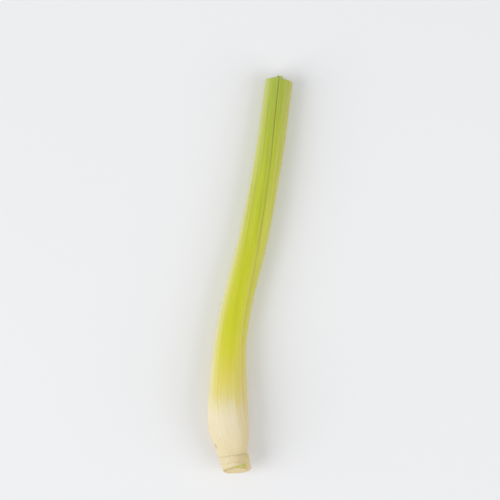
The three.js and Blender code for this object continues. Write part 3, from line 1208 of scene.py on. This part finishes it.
# A fibre's values are drawn evenly from these ranges: its angle round the stalk in degrees, its
# share of the radius, its length in millimetres, its lean sideways and upwards, and its stoutness.
FIBRE_ANGLES = (10, 175)
FIBRE_SHARES = (0.72, 0.95)
FIBRE_LENGTHS = (0.35, 0.9)
LEAN_SIDEWAYS = (-0.5, 0.5)
LEAN_UPWARDS = (-0.3, 0.7)
STOUTNESS = (0.6, 1.4)


def scatter_fibres(draw):
    """Thin cones standing out of the root cut, along its rim."""
    bm = bmesh.new()
    for _ in range(FIBRE_COUNT):
        angle = draw.uniform(*FIBRE_ANGLES) * DEGREE
        share = draw.uniform(*FIBRE_SHARES)
        length = draw.uniform(*FIBRE_LENGTHS) * MM
        root = stalk_point(np.array([angle]), np.array([share]), FIBRE_ROOT)[0]
        lean = Vector((draw.uniform(*LEAN_SIDEWAYS), -1, draw.uniform(*LEAN_UPWARDS))).normalized()
        turned = lean.to_track_quat("Z", "Y").to_matrix().to_4x4()
        middle = Vector(root) + lean * length / 2
        bmesh.ops.create_cone(
            bm,
            cap_ends=True,
            segments=FIBRE_SIDES,
            radius1=FIBRE_RADIUS * draw.uniform(*STOUTNESS),
            radius2=FIBRE_RADIUS * FIBRE_TIP,
            depth=length,
            matrix=Matrix.Translation(middle) @ turned,
        )
    return bm


print("fibres to place:", FIBRE_COUNT)

# %% Make the fibres
FIBRE_TAN = colour(206, 190, 130)
FIBRE_OLIVE = colour(150, 142, 66)
FIBRE_PATCHES = 900.0


def fibre_material():
    """Dry fibres, some tan and some olive."""
    material, tree, shader = new_material("Torn fibre", roughness=0.7, subsurface=0.0)
    coordinates = add(tree, "ShaderNodeTexCoord").outputs["Object"]
    share = spread(tree, noise_at(tree, coordinates, scale=FIBRE_PATCHES), 0.4, 0.6)
    shade = blend_colours(tree, share, FIBRE_TAN, FIBRE_OLIVE)
    tree.links.new(shade, shader.inputs["Base Color"])
    return material


def make_fibres():
    """The fibres of the root cut, as one piece."""
    mesh = mesh_from(scatter_fibres(random.Random(FIBRE_SEED)), "root_cut_fibres")
    place_points(mesh, points_of(mesh))
    mesh.materials.append(fibre_material())
    finish_piece("root_cut_fibres", mesh, None)


make_fibres()

# %% [markdown]
# ## The floor
# The stalk lies on a pale plain surface that takes its soft shadow. A white world without a floor
# would leave the stalk floating. The floor is far wider than the view, so that a low view has no
# edge in it. It is no part of the stalk.

# %% Floor
FLOOR_SIDE = 12.0
FLOOR_DROP = 0.02 * MM
FLOOR_COLOUR = colour(243, 243, 244)
FLOOR_TONE = colour(239, 239, 240)
FLOOR_PATCHES = 3.0


def make_floor():
    """A pale matt floor with a hardly visible tone in it."""
    bm = bmesh.new()
    bmesh.ops.create_grid(bm, x_segments=1, y_segments=1, size=FLOOR_SIDE / 2)
    mesh = mesh_from(bm, "floor")
    material, tree, shader = new_material("Pale floor", roughness=0.8, subsurface=0.0)
    coordinates = add(tree, "ShaderNodeTexCoord").outputs["Object"]
    noise = noise_at(tree, coordinates, scale=FLOOR_PATCHES)
    shade = blend_colours(tree, noise, FLOOR_COLOUR, FLOOR_TONE)
    tree.links.new(shade, shader.inputs["Base Color"])
    mesh.materials.append(material)
    floor = bpy.data.objects.new("floor", mesh)
    bpy.context.scene.collection.objects.link(floor)
    floor.location.z = -FLOOR_DROP


make_floor()
print("floor:", FLOOR_SIDE, "m wide")

# %% [markdown]
# ## The light
# The stalk was photographed in soft light. A single small lamp would draw a hard shadow, so two
# large ones hang above it on either side, the left one a little stronger, and the room around is
# an even pale glow that keeps the shadows light.

# %% Light
LIGHTS = [
    {"name": "Large light on the left", "place": (-1.5, -0.45, 1.1), "size": 1.6, "power": 20.5},
    {"name": "Large light on the right", "place": (1.5, -0.6, 1.1), "size": 1.6, "power": 14.5},
]
ROOM_COLOUR = (0.97, 0.985, 1.0, 1.0)
ROOM_GLOW = 0.54


def make_light(light):
    """One soft square light, aimed at the stalk."""
    data = bpy.data.lights.new(light["name"], "AREA")
    data.size = light["size"]
    data.energy = light["power"]
    lamp = bpy.data.objects.new(light["name"], data)
    lamp.location = light["place"]
    lamp.rotation_euler = Vector(light["place"]).to_track_quat("Z", "Y").to_euler()
    bpy.context.scene.collection.objects.link(lamp)
    print(light["name"], "with", light["power"], "W")


def make_room():
    """An even glow from all round."""
    world = bpy.data.worlds.new("Room")
    world.use_nodes = True
    glow = world.node_tree.nodes["Background"]
    glow.inputs["Color"].default_value = ROOM_COLOUR
    glow.inputs["Strength"].default_value = ROOM_GLOW
    bpy.context.scene.world = world


for light in LIGHTS:
    make_light(light)
make_room()

# %% [markdown]
# ## The camera
# The camera looks straight down on the stalk. It could stand close with a wide lens, but that
# would swell the parts that lie higher. It stands well above with a long lens instead, so the
# stalk is drawn almost without perspective.

# %% Camera
FRAME_SIDE = 203.5 * MM
FRAME_MIDDLE = (0.0, 9.93 * MM)
CAMERA_HEIGHT = 0.75


def make_camera():
    """A camera straight above, whose view is a square of the given side on the floor."""
    data = bpy.data.cameras.new("Camera above")
    data.lens = data.sensor_width * CAMERA_HEIGHT / FRAME_SIDE
    camera = bpy.data.objects.new("Camera above", data)
    camera.location = (*FRAME_MIDDLE, CAMERA_HEIGHT)
    bpy.context.scene.collection.objects.link(camera)
    bpy.context.scene.camera = camera
    print("lens in mm:", round(data.lens, 1))


make_camera()
bpy.context.scene.view_settings.view_transform = "Standard"

# %% [markdown]
# ## The packed box
# The fine pieces have to fill the packed model's box and stay inside it.
